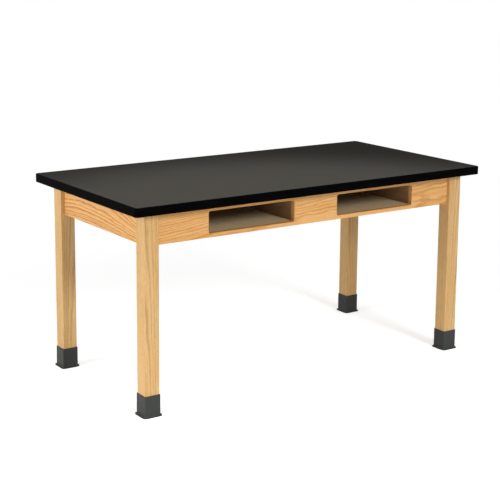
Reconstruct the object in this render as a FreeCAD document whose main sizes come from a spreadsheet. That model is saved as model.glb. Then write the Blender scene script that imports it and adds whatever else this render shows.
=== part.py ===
import FreeCAD, Part
import os
import Sketcher

# Science laboratory table: a laminate worktop on an oak leg frame with two open book compartments.
# Millimetres, +Z up. The origin is on the floor under the middle of the top, +X runs along the length,
# and the compartments open towards -Y, the front.

# Driving sizes, one cell each.
SIZES = {
    # Worktop
    "top_length": 1524.0,
    "top_depth": 762.0,
    "table_height": 737.0,
    "top_corner_radius": 12.0,
    "core_thickness": 30.0,
    "laminate_thickness": 1.2,
    "backer_thickness": 0.8,
    "band_thickness": 4.0,
    "band_edge_radius": 3.4,
    "tongue_thickness": 2.0,
    "tongue_depth": 9.0,
    # Legs
    "end_overhang": 55.0,
    "side_overhang": 45.0,
    "leg_width": 56.0,
    "leg_edge_radius": 2.5,
    "leg_flat": 14.0,
    # Aprons and their openings
    "apron_height": 115.0,
    "apron_thickness": 20.0,
    "apron_inset": 16.0,
    "apron_edge_radius": 1.5,
    "opening_height": 77.5,
    "opening_gap": 193.0,
    "opening_end_strip": 193.0,
    "opening_shift": 13.5,
    "opening_bottom_strip": 14.5,
    "opening_corner_radius": 7.0,
    "opening_edge_radius": 2.5,
    # Book compartments
    "panel_thickness": 12.0,
    "compartment_depth": 330.0,
    "compartment_setback": 4.0,
    "rebate_depth": 5.0,
    "cleat_size": 18.0,
    "cleat_length": 260.0,
    "cleat_front_gap": 30.0,
    "cleat_screw_margin": 40.0,
    "cleat_screw_length": 32.0,
    # Corner brackets, pressed from sheet steel
    "bracket_thickness": 2.0,
    "bracket_height": 70.0,
    "bracket_standoff": 10.0,
    "bracket_flange_length": 34.0,
    "bracket_lip": 6.0,
    "bend_radius": 2.0,
    "kerf_clearance": 0.2,
    "kerf_overcut": 0.5,
    "bracket_screw_spacing": 40.0,
    "bracket_screw_setback": 15.0,
    # Hanger bolts, washers and nuts
    "bolt_diameter": 8.0,
    "bolt_thread_depth": 0.6,
    "bolt_point": 5.0,
    "bolt_chamfer": 0.8,
    "bolt_overrun": 4.0,
    "bolt_hole_clearance": 0.5,
    "washer_diameter": 20.0,
    "washer_thickness": 1.6,
    "nut_flats": 13.0,
    "nut_thickness": 6.5,
    "thread_gap": 0.05,
    # Wood screws
    "screw_diameter": 4.0,
    "screw_length": 16.0,
    "screw_point": 4.0,
    "screw_head_diameter": 8.0,
    "screw_head_height": 2.4,
    "screw_head_rim": 0.9,
    "screw_hole_clearance": 0.3,
    # Angle clips that hold the top down
    "clip_leg": 26.0,
    "clip_width": 25.0,
    "clip_thickness": 2.0,
    "clip_bend_radius": 1.4,
    "clip_hole_distance": 16.0,
    "front_clip_setback": 115.0,
    "rear_clip_setback": 235.0,
    # Levellers
    "pad_diameter": 36.0,
    "pad_height": 8.0,
    "pad_rim": 3.0,
    "pad_chamfer": 1.0,
    "pad_boss_diameter": 20.0,
    "stem_diameter": 10.0,
    "stem_length": 45.0,
    "stem_chamfer": 1.0,
    "collar_flats": 16.0,
    "collar_thickness": 6.0,
    "spigot_diameter": 7.0,
    "spigot_length": 4.0,
    "socket_gap": 0.3,
    "running_fit": 0.05,
    "insert_diameter": 14.0,
    "insert_length": 20.0,
    "insert_flange_diameter": 24.0,
    "insert_flange_thickness": 1.6,
    "stem_bore_clearance": 0.6,
    "stem_bore_overrun": 3.0,
    # Boots
    "boot_height": 76.0,
    "boot_wall": 2.0,
    "boot_clearance": 0.3,
    "boot_corner_radius": 3.2,
    "boot_flange_reach": 6.5,
    "boot_flange_thickness": 4.0,
    "boot_flange_corner_radius": 12.0,
    "boot_cove_radius": 5.0,
    "boot_rim_radius": 0.8,
}

# Sizes and places that follow from the driving sizes.
DERIVED = {
    # Worktop
    "half_length": "top_length / 2",
    "half_depth": "top_depth / 2",
    "top_thickness": "core_thickness + laminate_thickness + backer_thickness",
    "underside": "table_height - top_thickness",
    "core_bottom": "underside + backer_thickness",
    "core_top": "core_bottom + core_thickness",
    "inner_half_length": "half_length - band_thickness",
    "inner_half_depth": "half_depth - band_thickness",
    "inner_corner_radius": "top_corner_radius - band_thickness",
    "tongue_half_length": "inner_half_length - tongue_depth",
    "tongue_half_depth": "inner_half_depth - tongue_depth",
    "tongue_bottom": "underside + (top_thickness - tongue_thickness) / 2",
    # Legs
    "half_leg": "leg_width / 2",
    "leg_x": "half_length - end_overhang - half_leg",
    "leg_y": "half_depth - side_overhang - half_leg",
    "flange_bottom": "pad_height + collar_thickness",
    "leg_bottom": "flange_bottom + insert_flange_thickness",
    "leg_length": "underside - leg_bottom",
    "flat_start": "half_leg - leg_flat",
    "flat_distance": "(leg_width - leg_flat) / sqrt(2)",
    # Aprons; x and y name the direction in which each face or place is measured
    "apron_bottom": "underside - apron_height",
    "apron_middle": "underside - apron_height / 2",
    "apron_outer_x": "leg_x + half_leg - apron_inset",
    "apron_outer_y": "leg_y + half_leg - apron_inset",
    "apron_inner_x": "apron_outer_x - apron_thickness",
    "apron_inner_y": "apron_outer_y - apron_thickness",
    "apron_end_x": "leg_x - half_leg",
    "apron_end_y": "leg_y - half_leg",
    "kerf_floor_x": "apron_inner_x + bracket_lip + kerf_overcut",
    "kerf_floor_y": "apron_inner_y + bracket_lip + kerf_overcut",
    "kerf_near_x": "leg_x - flange_end + bracket_thickness + kerf_clearance",
    "kerf_near_y": "leg_y - flange_end + bracket_thickness + kerf_clearance",
    "kerf_far_x": "leg_x - flange_end - kerf_clearance",
    "kerf_far_y": "leg_y - flange_end - kerf_clearance",
    "opening_spacing": "(apron_end_x - opening_end_strip + opening_gap / 2) / 2",
    "half_opening": "(apron_end_x - opening_end_strip - opening_gap / 2) / 2",
    "left_opening_x": "opening_shift - opening_spacing",
    "right_opening_x": "opening_shift + opening_spacing",
    "left_opening_start": "left_opening_x - half_opening",
    "left_opening_end": "left_opening_x + half_opening",
    "right_opening_start": "right_opening_x - half_opening",
    "right_opening_end": "right_opening_x + half_opening",
    "opening_low": "apron_bottom + opening_bottom_strip",
    "opening_high": "opening_low + opening_height",
    # Book compartments; side and cleat places are measured from the middle of the opening
    "floor_bottom": "opening_low - panel_thickness",
    "side_face": "half_opening + compartment_setback",
    "side_back": "side_face + panel_thickness",
    "side_rebate": "side_face + rebate_depth",
    "compartment_back": "compartment_depth - apron_inner_y",
    "compartment_rear": "compartment_back + panel_thickness",
    "compartment_run": "compartment_depth + panel_thickness",
    "cleat_far": "side_back + cleat_size",
    "cleat_x": "side_back + cleat_size / 2",
    "cleat_bottom": "underside - cleat_size",
    "cleat_front": "cleat_front_gap - apron_inner_y",
    "cleat_rear": "cleat_front + cleat_length",
    "cleat_screw_front": "cleat_front + cleat_screw_margin",
    "cleat_screw_rear": "cleat_rear - cleat_screw_margin",
    # Corner brackets, measured from a leg's axis towards the inside of the table
    "corner_face": "apron_inset + apron_thickness - half_leg",
    "flange_top": "corner_face + bracket_thickness",
    "lip_floor": "corner_face - bracket_lip",
    "web_near": "(flat_distance + bracket_standoff) * sqrt(2)",
    "web_far": "web_near + bracket_thickness * sqrt(2)",
    "web_near_reach": "web_near - corner_face",
    "web_far_reach": "web_far - flange_top",
    "flange_end": "web_near_reach + bracket_flange_length",
    "lip_start": "flange_end - bracket_thickness",
    "bracket_bottom": "apron_middle - bracket_height / 2",
    "outer_bend_radius": "bend_radius + bracket_thickness",
    "bracket_screw_run": "flange_end - bracket_screw_setback",
    "bracket_screw_low": "apron_middle - bracket_screw_spacing / 2",
    "bracket_screw_high": "apron_middle + bracket_screw_spacing / 2",
    # Hanger bolts, measured from a leg's axis along the diagonal
    "bolt_radius": "bolt_diameter / 2",
    "bolt_tip_radius": "bolt_radius - bolt_chamfer",
    "bolt_root_radius": "bolt_radius - bolt_thread_depth",
    "bolt_hole_radius": "bolt_radius + bolt_hole_clearance",
    "nut_bore_radius": "bolt_radius + thread_gap",
    "washer_start": "flat_distance + bracket_standoff + bracket_thickness",
    "washer_radius": "washer_diameter / 2",
    "nut_start": "washer_start + washer_thickness",
    "bolt_end": "nut_start + nut_thickness + bolt_overrun",
    "bolt_chamfer_start": "bolt_end - bolt_chamfer",
    "nut_half_flats": "nut_flats / 2",
    "nut_corner": "nut_flats / sqrt(3)",
    "nut_half_corner": "nut_corner / 2",
    # Wood screws
    "screw_radius": "screw_diameter / 2",
    "screw_hole_radius": "screw_radius + screw_hole_clearance",
    "screw_head_radius": "screw_head_diameter / 2",
    "screw_crown_radius": "screw_radius + screw_head_rim",
    "screw_shank": "screw_length - screw_point",
    "cleat_screw_shank": "cleat_screw_length - screw_point",
    # Angle clips
    "half_clip_width": "clip_width / 2",
    "front_clip_x": "apron_end_x - front_clip_setback",
    "rear_clip_x": "apron_end_x - rear_clip_setback",
    # Levellers
    "pad_radius": "pad_diameter / 2",
    "pad_foot_radius": "pad_radius - pad_chamfer",
    "pad_boss_radius": "pad_boss_diameter / 2",
    "spigot_radius": "spigot_diameter / 2",
    "spigot_bottom": "pad_height - spigot_length",
    "socket_radius": "spigot_radius + running_fit",
    "socket_floor": "spigot_bottom - socket_gap",
    "stem_radius": "stem_diameter / 2",
    "stem_tip_radius": "stem_radius - stem_chamfer",
    "stem_top": "flange_bottom + stem_length",
    "stem_chamfer_start": "stem_top - stem_chamfer",
    "collar_half_flats": "collar_flats / 2",
    "collar_corner": "collar_flats / sqrt(3)",
    "collar_half_corner": "collar_corner / 2",
    "insert_bore_radius": "stem_radius + running_fit",
    "insert_radius": "insert_diameter / 2",
    "insert_top": "leg_bottom + insert_length",
    "insert_flange_radius": "insert_flange_diameter / 2",
    "stem_bore_radius": "stem_radius + stem_bore_clearance",
    "stem_bore_depth": "stem_top + stem_bore_overrun - leg_bottom",
    # Boots
    "boot_bore_half": "half_leg + boot_clearance",
    "boot_bore_corner_radius": "leg_edge_radius + boot_clearance",
    "boot_half": "boot_bore_half + boot_wall",
    "boot_flange_half": "boot_half + boot_flange_reach",
}

# Each leg's own axes are turned so that its inner corner looks to its own +X and +Y.
CORNERS = [
    ("front_left", 0, "-leg_x", "-leg_y"),
    ("front_right", 90, "leg_x", "-leg_y"),
    ("rear_right", 180, "leg_x", "leg_y"),
    ("rear_left", 270, "-leg_x", "leg_y"),
]
DIAGONAL = 45

# Where the angle clips sit: the apron they are screwed to, then x and y on its inner face.
CLIP_PLACES = [
    ("front", "-front_clip_x", "-apron_inner_y"),
    ("front", "0", "-apron_inner_y"),
    ("front", "front_clip_x", "-apron_inner_y"),
    ("rear", "-rear_clip_x", "apron_inner_y"),
    ("rear", "0", "apron_inner_y"),
    ("rear", "rear_clip_x", "apron_inner_y"),
    ("left", "-apron_inner_x", "0"),
    ("right", "apron_inner_x", "0"),
]
APRON_ANGLES = {"front": 0, "right": 90, "rear": 180, "left": 270}

# The outline of the sheets inside the edge band: half length, half depth and corner radius.
BAND_INSIDE = ("inner_half_length", "inner_half_depth", "inner_corner_radius")

X_AXIS = FreeCAD.Vector(1, 0, 0)
Y_AXIS = FreeCAD.Vector(0, 1, 0)
Z_AXIS = FreeCAD.Vector(0, 0, 1)
SNAP = 0.001

doc = FreeCAD.newDocument("ScienceLabTable")
sheet = doc.addObject("Spreadsheet::Sheet", "Sizes")
nodes = {}


# The sheet

def fill_sheet():
    """Write the driving sizes as plain numbers, then the derived ones as formulas, with a name each."""
    row = 0
    for name, value in list(SIZES.items()) + list(DERIVED.items()):
        row += 1
        formula = f"={value}" if name in DERIVED else str(value)
        sheet.set(f"A{row}", name)
        sheet.set(f"B{row}", formula)
        sheet.setAlias(f"B{row}", name)
    doc.recompute()


def bare(term):
    return term.lstrip("-")


def sign(term):
    return -1.0 if term.startswith("-") else 1.0


def size(term):
    """The value of a cell now. A leading minus sign turns it round, and "0" is nought."""
    return 0.0 if term == "0" else sign(term) * float(sheet.get(bare(term)))


def formula(term):
    """The expression that follows a cell. A leading minus sign turns it round."""
    if term == "0":
        return "0"
    return f"-Sizes.{bare(term)}" if sign(term) < 0 else f"Sizes.{term}"


def opposite(term):
    if term == "0":
        return term
    return bare(term) if sign(term) < 0 else f"-{term}"


def follow(item, **cells):
    """Bind properties of an object to cells of the sheet."""
    for name, term in cells.items():
        item.setExpression(name, formula(term))


def place(item, x="0", y="0", z="0", turn=FreeCAD.Rotation()):
    """Turn an object about its origin, then bind its place to cells of the sheet."""
    item.Placement = FreeCAD.Placement(FreeCAD.Vector(), turn)
    for axis, term in (("x", x), ("y", y), ("z", z)):
        item.setExpression(f"Placement.Base.{axis}", formula(term))


def about_z(angle):
    return FreeCAD.Rotation(Z_AXIS, angle)


# Sketches and features

def new_body(name):
    return doc.addObject("PartDesign::Body", name)


def new_sketch(body, plane, height="0", turn=0):
    """A sketch on one of the body's origin planes, lifted along its normal and turned about its own Y."""
    support = [item for item in body.Origin.OriginFeatures if item.Role == plane][0]
    sketch = body.newObject("Sketcher::SketchObject", f"{body.Name}_sketch")
    sketch.AttachmentSupport = [(support, "")]
    sketch.MapMode = "FlatFace"
    sketch.AttachmentOffset = FreeCAD.Placement(FreeCAD.Vector(), FreeCAD.Rotation(Y_AXIS, turn))
    sketch.setExpression("AttachmentOffset.Base.z", formula(height))
    return sketch


def pin_point(sketch, element, point, x, y):
    """Bind a point of a sketch element to two cells."""
    for kind, term, axis in (("DistanceX", x, -2), ("DistanceY", y, -1)):
        if term == "0":
            sketch.addConstraint(Sketcher.Constraint("PointOnObject", element, point, axis))
            continue
        distance = Sketcher.Constraint(kind, -1, 1, element, point, size(term))
        sketch.setExpression(f"Constraints[{sketch.addConstraint(distance)}]", formula(term))


def draw_polygon(sketch, points):
    """A closed outline whose corners are pairs of cells."""
    corners = [FreeCAD.Vector(size(x), size(y), 0) for x, y in points]
    lines = [sketch.addGeometry(Part.LineSegment(start, end))
             for start, end in zip(corners, corners[1:] + corners[:1])]
    for line, following in zip(lines, lines[1:] + lines[:1]):
        sketch.addConstraint(Sketcher.Constraint("Coincident", line, 2, following, 1))
    for line, (x, y) in zip(lines, points):
        pin_point(sketch, line, 1, x, y)


def draw_rectangle(sketch, x_low, x_high, y_low, y_high):
    draw_polygon(sketch, [(x_low, y_low), (x_high, y_low), (x_high, y_high), (x_low, y_high)])


def draw_centred(sketch, half_x, half_y):
    draw_rectangle(sketch, f"-{half_x}", half_x, f"-{half_y}", half_y)


def draw_square(sketch, half):
    draw_centred(sketch, half, half)


def draw_circle(sketch, x, y, radius):
    centre = FreeCAD.Vector(size(x), size(y), 0)
    circle = sketch.addGeometry(Part.Circle(centre, Z_AXIS, size(radius)))
    pin_point(sketch, circle, 3, x, y)
    rule = sketch.addConstraint(Sketcher.Constraint("Radius", circle, size(radius)))
    sketch.setExpression(f"Constraints[{rule}]", formula(radius))


def draw_hexagon(sketch, half_flats, corner, half_corner):
    draw_polygon(sketch, [
        (corner, "0"), (half_corner, half_flats), (f"-{half_corner}", half_flats),
        (f"-{corner}", "0"), (f"-{half_corner}", f"-{half_flats}"), (half_corner, f"-{half_flats}"),
    ])


def pad(body, sketch, length):
    """Push a sketch out along its normal."""
    feature = body.newObject("PartDesign::Pad", f"{body.Name}_pad")
    feature.Profile = sketch
    follow(feature, Length=length)
    doc.recompute()
    return feature


def revolve(body, sketch, axis):
    """Spin a sketch a full turn about its own H_Axis or V_Axis."""
    feature = body.newObject("PartDesign::Revolution", f"{body.Name}_turned")
    feature.Profile = sketch
    feature.ReferenceAxis = (sketch, [axis])
    doc.recompute()
    return feature


def pocket(body, sketch, depth=None, upwards=False):
    """Cut a sketch out of the body: right through both ways, or to a depth."""
    before = body.Shape.Volume
    feature = body.newObject("PartDesign::Pocket", f"{body.Name}_pocket")
    feature.Profile = sketch
    if depth is None:
        feature.Type = "ThroughAll"
        feature.SideType = "Symmetric"
    else:
        follow(feature, Length=depth)
        feature.Reversed = upwards
    doc.recompute()
    if body.Shape.Volume >= before:
        raise RuntimeError(f"a pocket in {body.Name} cut nothing")
    return feature


def edges_where(shape, test):
    """Names of the edges whose box passes a test."""
    return [f"Edge{number}" for number, edge in enumerate(shape.Edges, 1) if test(edge.BoundBox)]


def fillet(body, radius, test):
    """Round the edges of the body's last feature whose box passes a test."""
    base = body.Tip
    names = edges_where(base.Shape, test)
    if not names:
        raise RuntimeError(f"no edge to round in {body.Name}")
    feature = body.newObject("PartDesign::Fillet", f"{body.Name}_fillet")
    feature.Base = (base, names)
    follow(feature, Radius=radius)
    doc.recompute()
    return feature


def near(value, target):
    return abs(value - target) < SNAP


def upright(box):
    return near(box.XLength, 0) and near(box.YLength, 0) and box.ZLength > SNAP


def at_level(level):
    return lambda box: near(box.ZMin, level) and near(box.ZMax, level)


def widest(box):
    """How far an edge's box reaches from the body's axis."""
    return max(abs(box.XMin), abs(box.XMax), abs(box.YMin), abs(box.YMax))


# Nodes

def keep(label, item):
    """Name an object as a sub-part of the table."""
    item.Label = label
    nodes[label] = item
    return item


def copies(label, sources):
    """One object that holds several placed ones."""
    group = doc.addObject("Part::Compound", label)
    group.Links = sources
    return group


def placed(source, x="0", y="0", z="0", turn=FreeCAD.Rotation()):
    """A copy of an object at a place of its own."""
    copy = copies(f"{source.Name}_placed", [source])
    place(copy, x, y, z, turn)
    return copy


def at_corners(source):
    """Copies of an object that is drawn round a leg's axis, one at each corner."""
    return [placed(source, x, y, turn=about_z(angle)) for _, angle, x, y in CORNERS]


def cut(item, tool):
    """The item with the tool's holes in it."""
    result = doc.addObject("Part::Cut", f"{item.Name}_cut")
    result.Base = item
    result.Tool = tool
    return result


def board(name, x_low, x_high, y_low, y_high, z_low, z_high):
    """A plain board between six cells."""
    box = doc.addObject("Part::Box", name)
    for side, low, high in (("Length", x_low, x_high), ("Width", y_low, y_high), ("Height", z_low, z_high)):
        box.setExpression(side, f"{formula(high)} - ({formula(low)})")
    place(box, x_low, y_low, z_low)
    return box


# Worktop

def slab(name, half_length, half_depth, radius, low, thickness):
    """A flat board with rounded corners in plan."""
    body = new_body(name)
    sketch = new_sketch(body, "XY_Plane", low)
    draw_centred(sketch, half_length, half_depth)
    pad(body, sketch, thickness)
    fillet(body, radius, upright)
    return body


def make_edge_band():
    """The moulded band round the core: rounded outside, with a tongue that holds it in the core's groove."""
    outside = ("half_length", "half_depth", "top_corner_radius")
    body = slab("edge_band", *outside, "underside", "top_thickness")
    levels = (size("underside"), size("table_height"))
    fillet(body, "band_edge_radius", lambda box: any(at_level(level)(box) for level in levels))
    ring = slab("band_inside", *BAND_INSIDE, "underside", "top_thickness")
    tongue = slab("tongue", *BAND_INSIDE, "tongue_bottom", "tongue_thickness")
    tongue_inside = new_body("tongue_inside")
    sketch = new_sketch(tongue_inside, "XY_Plane", "tongue_bottom")
    draw_centred(sketch, "tongue_half_length", "tongue_half_depth")
    pad(tongue_inside, sketch, "tongue_thickness")
    band = doc.addObject("Part::Fuse", "band_with_tongue")
    band.Base = cut(body, ring)
    band.Tool = cut(tongue, tongue_inside)
    return keep("worktop_edge_band", band)


def make_worktop(band, screws):
    """Core, laminate and backer inside the band, with the screws' holes."""
    core = slab("core", *BAND_INSIDE, "core_bottom", "core_thickness")
    backer = slab("backer", *BAND_INSIDE, "underside", "backer_thickness")
    keep("worktop_core", cut(cut(core, band), screws))
    keep("worktop_laminate", slab("laminate", *BAND_INSIDE, "core_top", "laminate_thickness"))
    keep("worktop_backer", cut(backer, screws))


# Legs

def make_leg(label, angle, x, y, bolts):
    """A square post with a flat down its inner corner for the hanger bolt, bored for the leveller."""
    body = new_body(f"{label}_post")
    sketch = new_sketch(body, "XY_Plane", "leg_bottom")
    draw_square(sketch, "half_leg")
    pad(body, sketch, "leg_length")
    fillet(body, "leg_edge_radius", upright)
    flat = new_sketch(body, "XY_Plane", "underside")
    draw_polygon(flat, [("half_leg", "flat_start"), ("half_leg", "half_leg"), ("flat_start", "half_leg")])
    pocket(body, flat, "apron_height")
    for radius, depth in (("insert_radius", "insert_length"), ("stem_bore_radius", "stem_bore_depth")):
        bore = new_sketch(body, "XY_Plane", "leg_bottom")
        draw_circle(bore, "0", "0", radius)
        pocket(body, bore, depth, upwards=True)
    place(body, x, y, turn=about_z(angle))
    keep(label, cut(body, bolts))


# Aprons

def apron_body(name, along, side):
    """A rail between two legs, with the saw kerfs that take the brackets' lips.

    along is the axis that it runs on, and side is "" or "-", the side of the table that it is on.
    """
    across = "y" if along == "x" else "x"
    outer, inner, floor = (f"{side}{cell}_{across}" for cell in ("apron_outer", "apron_inner", "kerf_floor"))
    end, near_kerf, far_kerf = (f"{cell}_{along}" for cell in ("apron_end", "kerf_near", "kerf_far"))
    half = [
        (end, outer), (end, inner),
        (near_kerf, inner), (near_kerf, floor), (far_kerf, floor), (far_kerf, inner),
    ]
    outline = half + [(opposite(run), depth) for run, depth in reversed(half)]
    if along == "y":
        outline = [(y, x) for x, y in outline]
    body = new_body(name)
    sketch = new_sketch(body, "XY_Plane", "apron_bottom")
    draw_polygon(sketch, outline)
    pad(body, sketch, "apron_height")
    low = size("apron_bottom")
    if along == "x":
        fillet(body, "apron_edge_radius", lambda box: at_level(low)(box)
               and near(box.YMin, size(outer)) and near(box.YMax, size(outer)))
    else:
        fillet(body, "apron_edge_radius", lambda box: at_level(low)(box)
               and near(box.XMin, size(outer)) and near(box.XMax, size(outer)))
    return body


def open_front(body):
    """Cut the two book openings in the front rail, and round their corners and front edges."""
    sketch = new_sketch(body, "XZ_Plane")
    draw_rectangle(sketch, "left_opening_start", "left_opening_end", "opening_low", "opening_high")
    draw_rectangle(sketch, "right_opening_start", "right_opening_end", "opening_low", "opening_high")
    pocket(body, sketch)
    front = -size("apron_outer_y")
    low, high = size("opening_low"), size("opening_high")
    thickness = size("apron_thickness")

    def opening_corner(box):
        return near(box.XLength, 0) and near(box.ZLength, 0) and near(box.YLength, thickness) \
            and (near(box.ZMin, low) or near(box.ZMin, high))

    def front_arris(box):
        return near(box.YMin, front) and near(box.YMax, front) \
            and box.ZMin > low - SNAP and box.ZMax < high + SNAP

    fillet(body, "opening_corner_radius", opening_corner)
    fillet(body, "opening_edge_radius", front_arris)


def make_aprons(bracket_screws, clip_screws):
    front = apron_body("front_rail", "x", "-")
    open_front(front)
    rails = {
        "front_apron": front,
        "rear_apron": apron_body("rear_rail", "x", ""),
        "left_end_apron": apron_body("left_rail", "y", "-"),
        "right_end_apron": apron_body("right_rail", "y", ""),
    }
    for label, rail in rails.items():
        keep(label, cut(cut(rail, bracket_screws), clip_screws))


# Book compartments

def compartment_side(name, hand):
    """A side panel, rebated along its bottom for the floor and down its rear edge for the back.

    hand is "" or "-", the side of the opening that the panel stands on.
    """
    body = new_body(name)
    section = new_sketch(body, "XZ_Plane", "-compartment_rear")
    draw_polygon(section, [
        (f"{hand}side_face", "underside"), (f"{hand}side_back", "underside"),
        (f"{hand}side_back", "floor_bottom"), (f"{hand}side_rebate", "floor_bottom"),
        (f"{hand}side_rebate", "opening_low"), (f"{hand}side_face", "opening_low"),
    ])
    pad(body, section, "compartment_run")
    rear = new_sketch(body, "XY_Plane")
    draw_rectangle(rear, f"{hand}side_face", f"{hand}side_rebate", "compartment_back", "compartment_rear")
    pocket(body, rear)
    return body


def make_compartment(name, hands, screws):
    """A box for books under the top: floor, two sides and a back, hung on two cleats.

    hands gives the side of the opening, "" or "-", on which the inner and the outer panel stand.
    """
    middle = f"{name}_opening_x"
    across = ("-side_rebate", "side_rebate")
    lengthwise = ("-apron_inner_y", "compartment_rear")
    floor = board(f"{name}_floor", *across, *lengthwise, "floor_bottom", "opening_low")
    keep(f"{name}_compartment_floor", placed(floor, middle))
    rearmost = ("compartment_back", "compartment_rear")
    back = board(f"{name}_back", *across, *rearmost, "opening_low", "underside")
    keep(f"{name}_compartment_back", placed(back, middle))
    for which, hand in hands.items():
        panel = compartment_side(f"{name}_{which}_panel", hand)
        keep(f"{name}_compartment_{which}_side", placed(panel, middle))
        edges = sorted((f"{hand}side_back", f"{hand}cleat_far"), key=size)
        run = ("cleat_front", "cleat_rear")
        cleat = board(f"{name}_{which}_strip", *edges, *run, "cleat_bottom", "underside")
        keep(f"{name}_{which}_cleat", cut(placed(cleat, middle), screws))


# Corner brackets and their fasteners

def make_bracket(label, angle, x, y):
    """Sheet steel bent across the leg's inner corner, with a lip at each end that hooks in a kerf."""
    near_side = [
        ("lip_start", "lip_floor"), ("lip_start", "corner_face"), ("web_near_reach", "corner_face"),
        ("corner_face", "web_near_reach"), ("corner_face", "lip_start"), ("lip_floor", "lip_start"),
    ]
    far_side = [
        ("lip_floor", "flange_end"), ("flange_top", "flange_end"), ("flange_top", "web_far_reach"),
        ("web_far_reach", "flange_top"), ("flange_end", "flange_top"), ("flange_end", "lip_floor"),
    ]
    body = new_body(f"{label}_sheet")
    profile = new_sketch(body, "XY_Plane", "bracket_bottom")
    draw_polygon(profile, near_side + far_side)
    pad(body, profile, "bracket_height")

    def stands_at(first, second):
        spots = ((size(first), size(second)), (size(second), size(first)))
        return lambda box: upright(box) and any(near(box.XMin, u) and near(box.YMin, v) for u, v in spots)

    fillet(body, "outer_bend_radius", stands_at("web_near_reach", "corner_face"))
    fillet(body, "bend_radius", stands_at("web_far_reach", "flange_top"))
    fillet(body, "bend_radius", stands_at("flange_end", "flange_top"))

    bolt_hole = new_sketch(body, "XZ_Plane", turn=-DIAGONAL)
    draw_circle(bolt_hole, "0", "apron_middle", "bolt_hole_radius")
    pocket(body, bolt_hole)
    for plane in ("XZ_Plane", "YZ_Plane"):
        screw_holes = new_sketch(body, plane)
        for height in ("bracket_screw_low", "bracket_screw_high"):
            draw_circle(screw_holes, "bracket_screw_run", height, "screw_hole_radius")
        pocket(body, screw_holes)
    place(body, x, y, turn=about_z(angle))
    keep(label, body)


def make_bolt():
    """A hanger bolt along +X from the leg's axis: pointed wood thread, then machine thread."""
    body = new_body("hanger_bolt")
    sketch = new_sketch(body, "XZ_Plane")
    draw_polygon(sketch, [
        ("0", "0"), ("bolt_point", "bolt_root_radius"), ("flat_distance", "bolt_root_radius"),
        ("flat_distance", "bolt_radius"), ("bolt_chamfer_start", "bolt_radius"),
        ("bolt_end", "bolt_tip_radius"), ("bolt_end", "0"),
    ])
    revolve(body, sketch, "H_Axis")
    return body


def make_washer():
    body = new_body("washer")
    sketch = new_sketch(body, "YZ_Plane", "washer_start")
    draw_circle(sketch, "0", "0", "washer_radius")
    draw_circle(sketch, "0", "0", "bolt_hole_radius")
    pad(body, sketch, "washer_thickness")
    return body


def make_nut():
    body = new_body("nut")
    sketch = new_sketch(body, "YZ_Plane", "nut_start")
    draw_hexagon(sketch, "nut_half_flats", "nut_corner", "nut_half_corner")
    draw_circle(sketch, "0", "0", "nut_bore_radius")
    pad(body, sketch, "nut_thickness")
    return body


def make_screw(name, shank, length):
    """A pan-head wood screw along +Z from the seat of its head."""
    body = new_body(name)
    sketch = new_sketch(body, "XZ_Plane")
    draw_polygon(sketch, [
        ("0", "-screw_head_height"), ("screw_crown_radius", "-screw_head_height"),
        ("screw_head_radius", "-screw_head_rim"), ("screw_head_radius", "0"),
        ("screw_radius", "0"), ("screw_radius", shank), ("0", length),
    ])
    revolve(body, sketch, "V_Axis")
    return body


def on_the_diagonal(label, source):
    """Four copies of a piece drawn along +X, each on a leg's diagonal at the bracket's middle."""
    return keep(label, copies(label, [placed(source, x, y, "apron_middle", about_z(angle + DIAGONAL))
                                      for _, angle, x, y in CORNERS]))


def make_bracket_screws(screw):
    """Two screws through each flange of each bracket."""
    into_y = FreeCAD.Rotation(X_AXIS, 90)
    into_x = FreeCAD.Rotation(Y_AXIS, -90)
    one_corner = []
    for height in ("bracket_screw_low", "bracket_screw_high"):
        one_corner.append(placed(screw, "bracket_screw_run", "flange_top", height, into_y))
        one_corner.append(placed(screw, "flange_top", "bracket_screw_run", height, into_x))
    corner_set = copies("corner_screws", one_corner)
    return keep("bracket_screws", copies("bracket_screw_group", at_corners(corner_set)))


# Angle clips

def make_clip():
    """A small angle, drawn with the apron's face at y = 0 and the top's underside at z = 0."""
    body = new_body("clip")
    sketch = new_sketch(body, "YZ_Plane", "-half_clip_width")
    draw_polygon(sketch, [
        ("0", "0"), ("clip_leg", "0"), ("clip_leg", "-clip_thickness"),
        ("clip_thickness", "-clip_thickness"), ("clip_thickness", "-clip_leg"), ("0", "-clip_leg"),
    ])
    pad(body, sketch, "clip_width")
    inside = (size("clip_thickness"), -size("clip_thickness"))
    fillet(body, "clip_bend_radius", lambda box: near(box.YMin, inside[0]) and near(box.YMax, inside[0])
           and near(box.ZMin, inside[1]) and near(box.ZMax, inside[1]))
    for plane, distance in (("XZ_Plane", "-clip_hole_distance"), ("XY_Plane", "clip_hole_distance")):
        hole = new_sketch(body, plane)
        draw_circle(hole, "0", distance, "screw_hole_radius")
        pocket(body, hole)
    return body


def at_clip_places(label, source):
    """Copies of a piece that is drawn round the clip's corner, one at each clip."""
    turns = {apron: about_z(angle) for apron, angle in APRON_ANGLES.items()}
    spots = [placed(source, x, y, "underside", turns[apron]) for apron, x, y in CLIP_PLACES]
    return keep(label, copies(f"{label}_group", spots))


def make_clip_screws(screw):
    """One screw into the apron and one up into the core, through each clip."""
    sideways = placed(screw, "0", "clip_thickness", "-clip_hole_distance", FreeCAD.Rotation(X_AXIS, 90))
    upwards = placed(screw, "0", "clip_hole_distance", "-clip_thickness")
    return at_clip_places("top_clip_screws", copies("clip_screw_pair", [sideways, upwards]))


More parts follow.
